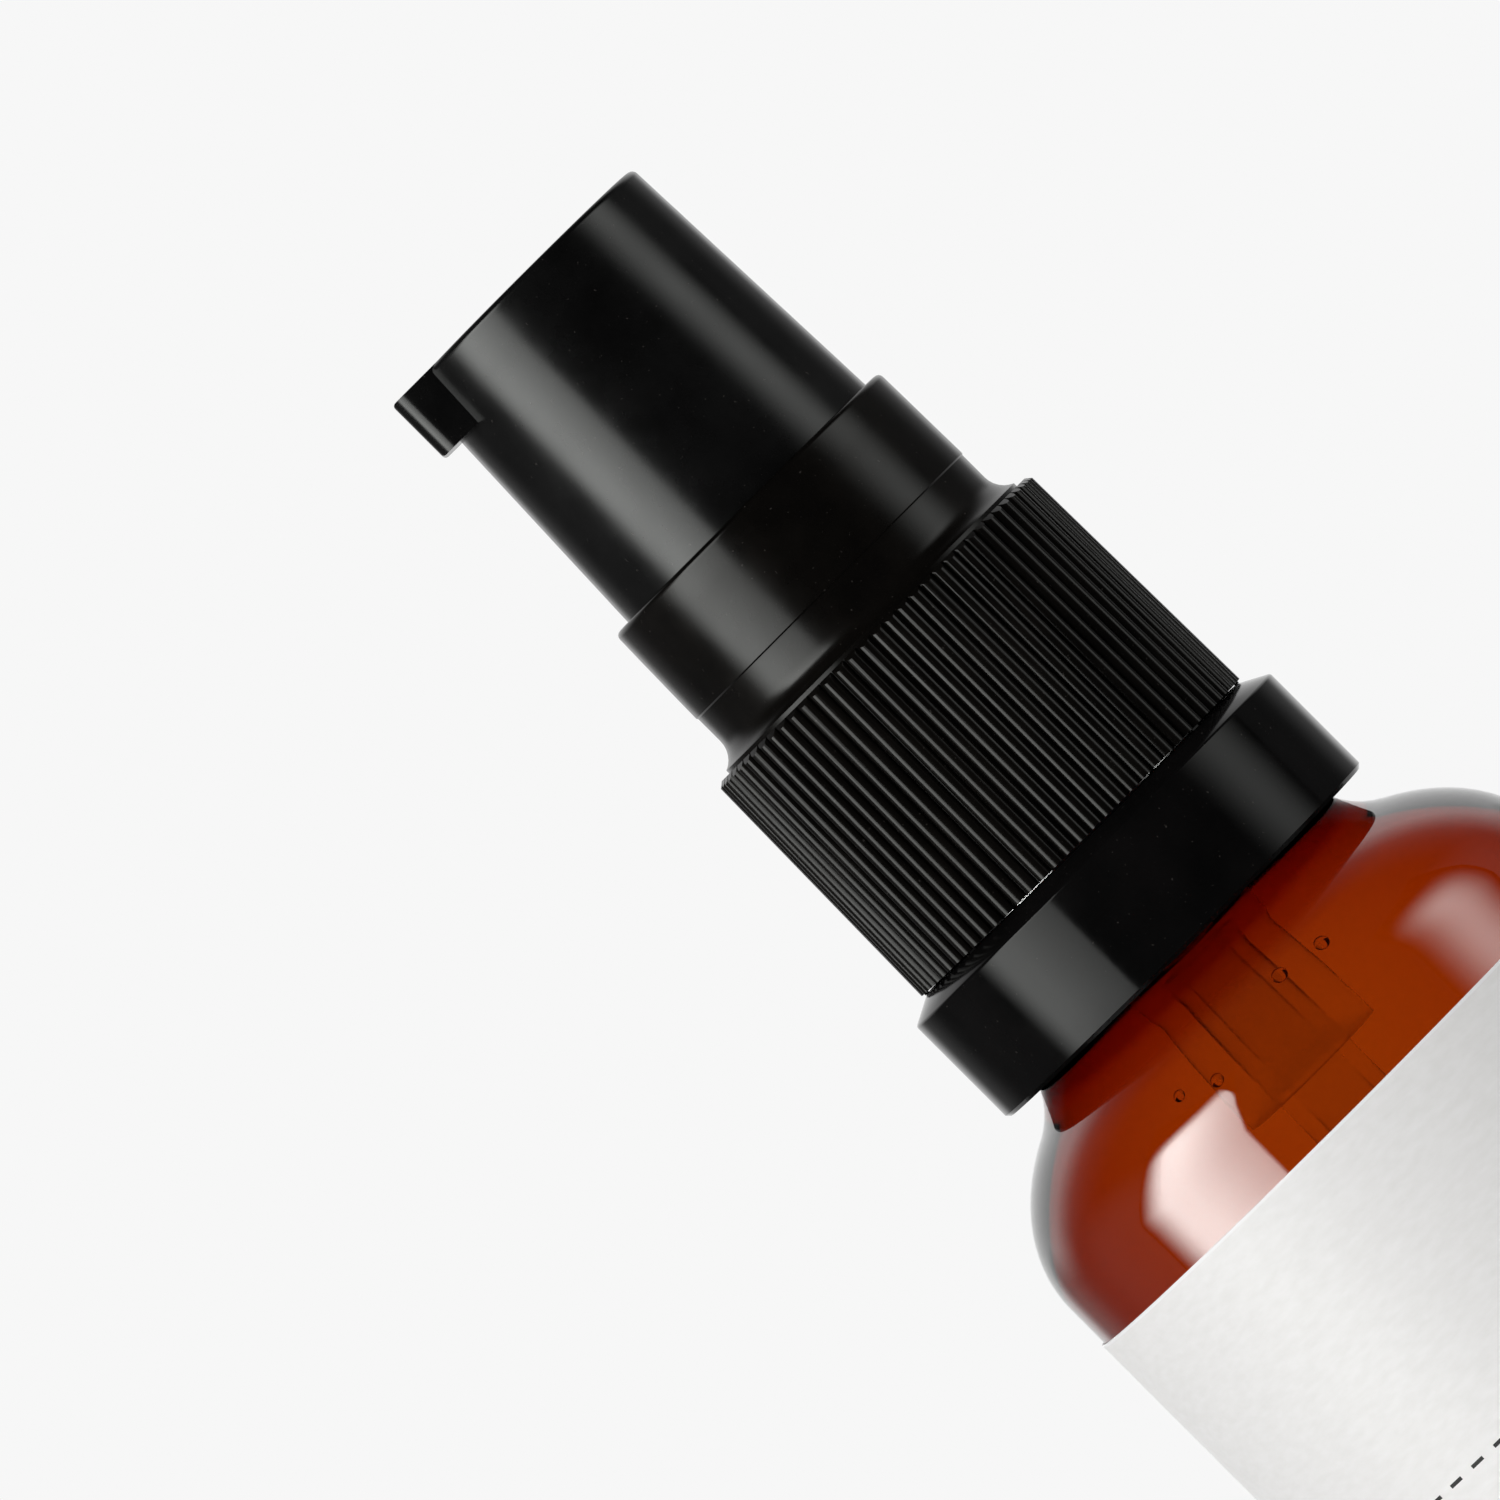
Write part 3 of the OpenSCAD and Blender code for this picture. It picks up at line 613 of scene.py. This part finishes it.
def area_lamp(name, place, size, watts):
    """A lamp that shines on the bottle, and shows neither to the camera nor in gloss nor through glass."""
    data = bpy.data.lights.new(name, "AREA")
    data.shape = "RECTANGLE"
    data.size, data.size_y = size
    data.energy = watts
    lamp = bpy.data.objects.new(name, data)
    bpy.context.scene.collection.objects.link(lamp)
    aim = (Vector(LAMP_TARGET) - Vector(place)).to_track_quat("-Z", "Y")
    lamp.matrix_world = Matrix.Translation(place) @ aim.to_matrix().to_4x4()
    lamp.visible_camera = False
    lamp.visible_glossy = False
    lamp.visible_transmission = False


# Each outline is rows of elevation, near edge and far edge in degrees. The edges are turns from the
# camera's side, positive to the left.
LEFT_OUTLINE = ((-12, 30, 83), (0, 30, 85), (8, 30, 86), (20, 29, 83), (34, 28, 80), (50, 26, 77))
RIGHT_OUTLINE = ((-12, -52, -100), (6, -53, -103), (22, -54, -102), (42, -56, -96))
SOFTBOX_COLOUR = (0.98, 1.0, 0.97, 1.0)
SOFTBOX_DISTANCE = 1.5
SOFTBOX_COLUMNS = 16
CORNERS_ABOVE = 0.72  # share of the height above which the upper corners are cut
CORNER_CUT = 0.25  # share of the width that a corner loses at the top
TOP_LEAN = 0.14  # share of the height that the top loses at the far edge
DIM_REACH = 0.55  # share of the width over which the near side is dimmed


def softbox_card(name, outline):
    """A curved card round the bottle. Its UV map holds the shares of its width and of its height."""
    bm = bmesh.new()
    grid, marks = [], {}
    lowest, highest = outline[0][0], outline[-1][0]
    for elevation, near, far in outline:
        up = math.radians(elevation)
        line = []
        for i in range(SOFTBOX_COLUMNS + 1):
            share = i / SOFTBOX_COLUMNS
            side = math.radians(near + (far - near) * share)
            away = Vector((-math.sin(side) * math.cos(up), -math.cos(side) * math.cos(up), math.sin(up)))
            line.append(bm.verts.new(away * SOFTBOX_DISTANCE + Vector((0, 0, EYE_HEIGHT))))
            marks[line[-1]] = (share, (elevation - lowest) / (highest - lowest))
        grid.append(line)
    for low, high in zip(grid, grid[1:]):
        for i in range(SOFTBOX_COLUMNS):
            bm.faces.new((low[i], low[i + 1], high[i + 1], high[i]))
    uv = bm.loops.layers.uv.new("across")
    for face in bm.faces:
        for loop in face.loops:
            loop[uv].uv = marks[loop.vert]
    mesh = bpy.data.meshes.new(name)
    bm.to_mesh(mesh)
    bm.free()
    card = bpy.data.objects.new(name, mesh)
    bpy.context.scene.collection.objects.link(card)
    return card


def softbox_light(name, levels, fades, dim):
    t = Finish(name)
    card = t.parts(t.add("ShaderNodeUVMap", uv_map="across").outputs[0])
    across, rise = card["X"], card["Y"]
    top = t.span(rise, CORNERS_ABOVE, 1)
    corner = t.math("MULTIPLY", t.math("MULTIPLY", top, top), CORNER_CUT)
    from_near = t.math("SUBTRACT", across, corner)
    from_far = t.math("SUBTRACT", t.math("SUBTRACT", 1, across), corner)
    from_top = t.math("SUBTRACT", t.math("SUBTRACT", 1, rise), t.math("MULTIPLY", across, TOP_LEAN))
    strength = t.math("MULTIPLY", t.span(rise, 0, 1, *levels), t.span(across, 0, DIM_REACH, dim, 1))
    for inside, fade in zip((from_near, from_far, from_top), fades):
        strength = t.math("MULTIPLY", strength, t.ease(inside, 0, fade))
    t.show(t.fill(t.add("ShaderNodeEmission"), Color=SOFTBOX_COLOUR, Strength=strength))
    return t.material


def softbox(name, outline, levels, fades, dim):
    """A softbox that only gloss sees. levels is its brightness at the bottom and the top, fades the widths
    over which its near edge, far edge and top fade, and dim the share of brightness at its near edge."""
    card = softbox_card(name, outline)
    card.data.materials.append(softbox_light(name, levels, fades, dim))
    card.visible_camera = False
    card.visible_diffuse = False
    card.visible_transmission = False
    card.visible_shadow = False


FLOOR_HALF = 15
FLOOR_TONES = ((0.83, 0.83, 0.83, 1), (0.85, 0.85, 0.85, 1))
SHADOW_REACH = (0.16, 0.5)  # distances from the bottle between which its shadow fades out


def floor_paint():
    """Pale paint near the bottle, and the background's own colour further off. Gloss sees the far floor as
    it sees the room, and glass shows the background in its place."""
    t = Finish("floor")
    radius = t.radius()
    path = t.add("ShaderNodeLightPath").outputs
    camera_or_gloss = t.math("MAXIMUM", path["Is Camera Ray"], path["Is Glossy Ray"])
    far = t.math("MULTIPLY", camera_or_gloss, t.ease(radius, *SHADOW_REACH))
    rearward = t.math("DIVIDE", t.along("Y"), radius)
    sideways = t.math("DIVIDE", t.math("ABSOLUTE", t.along("X")), radius)
    dark = t.math("SUBTRACT", path["Is Glossy Ray"], path["Is Transmission Ray"])
    level = t.math("MAXIMUM", level_room(t, rearward, sideways), t.math("SUBTRACT", 1, dark))
    paint = t.fill(t.add("ShaderNodeBsdfDiffuse"), Color=t.shade(t.noise(9, 2), *FLOOR_TONES))
    glow = t.fill(t.add("ShaderNodeEmission"), Color=BACKGROUND, Strength=level)
    blend = t.add("ShaderNodeMixShader")
    white = t.math("MAXIMUM", far, path["Is Transmission Ray"])
    for value, socket in zip((white, paint.outputs[0], glow.outputs[0]), blend.inputs):
        t.put(value, socket)
    t.show(blend)
    return t.material


def make_floor():
    bm = bmesh.new()
    bmesh.ops.create_grid(bm, x_segments=2, y_segments=2, size=FLOOR_HALF)
    mesh = bpy.data.meshes.new("floor")
    bm.to_mesh(mesh)
    bm.free()
    floor = bpy.data.objects.new("floor", mesh)
    bpy.context.scene.collection.objects.link(floor)
    mesh.materials.append(floor_paint())


def make_light():
    make_world()
    area_lamp("key_lamp", (-0.75, -0.65, 0.45), size=(0.6, 0.7), watts=4.55)
    area_lamp("fill_lamp", (0.9, -0.7, 0.3), size=(0.5, 0.5), watts=0.68)
    area_lamp("back_lamp", (0.2, 1.0, 0.5), size=(0.9, 0.6), watts=2.5)
    softbox("left_softbox", LEFT_OUTLINE, levels=(15.0, 19.0), fades=(0.04, 0.3, 0.15), dim=0.45)
    softbox("right_softbox", RIGHT_OUTLINE, levels=(4.4, 5.4), fades=(0.5, 0.5, 0.4), dim=1.0)


# ---------- the object ----------

BOUNCES = 32  # enough to pass through the glass, the oil and the nested plastics of the pump


def finish_closure(ribs):
    """The black plastics: band, ribbed collar and head."""
    band = black_plastic("black_band", rgb(8, 8, 8), rgb(15, 14, 14), gloss=0.1, specular=0.065, peel=0.12)
    head = black_plastic("black_head", rgb(9, 9, 9), rgb(16, 16, 16), gloss=0.2, specular=0.15, peel=0.12)
    dress(band, "tamper_band")
    dress(ribs, "collar")
    dress(head, "actuator")


def finish_pump():
    """The milky plastics, the white seals and the steel of the pump."""
    milk = milky_plastic("milky_polypropylene", rgb(251, 251, 249), rgb(254, 254, 253),
                         rough=0.3, clear=0.97, milky=0.5)
    seal = milky_plastic("white_seal", rgb(232, 231, 226), rgb(242, 241, 238),
                         rough=0.5, clear=0.2, milky=0.2)
    tube = milky_plastic("tube_polyethylene", rgb(251, 251, 250), rgb(254, 254, 253),
                         rough=0.25, clear=0.975, milky=0.975)
    dress(milk, "pump_cylinder", "turret", "stem", "poppet")
    dress(seal, "gasket", "piston")
    dress(tube, "dip_tube")
    dress(steel("spring_wire", rough=0.22, streaks=(900, 900, 6000)), "spring")
    dress(steel("ball_steel", rough=0.08, streaks=(400, 400, 400)), "check_ball")


def main():
    make_camera()
    make_light()
    make_floor()
    mark_wet("bottle")
    smooth_faces("bottle", "tamper_band", "collar", "actuator", "turret", "pump_cylinder", "stem",
                 "piston", "poppet", "dip_tube", "gasket", "spring")
    draw_in("dip_tube")
    glass = amber_glass()
    ribs = black_plastic("black_ribs", rgb(8, 7, 6), rgb(15, 13, 11), gloss=0.2, specular=0.1, peel=0.15)
    dress(glass, "bottle")
    dress(label_paper(), "label")
    finish_closure(ribs)
    finish_pump()
    oil()
    bubbles()
    threads(glass, ribs)
    squeeze_spring()
    bpy.context.scene.view_settings.view_transform = "Standard"
    bpy.context.scene.cycles.max_bounces = BOUNCES
    bpy.context.scene.cycles.transmission_bounces = BOUNCES


main()
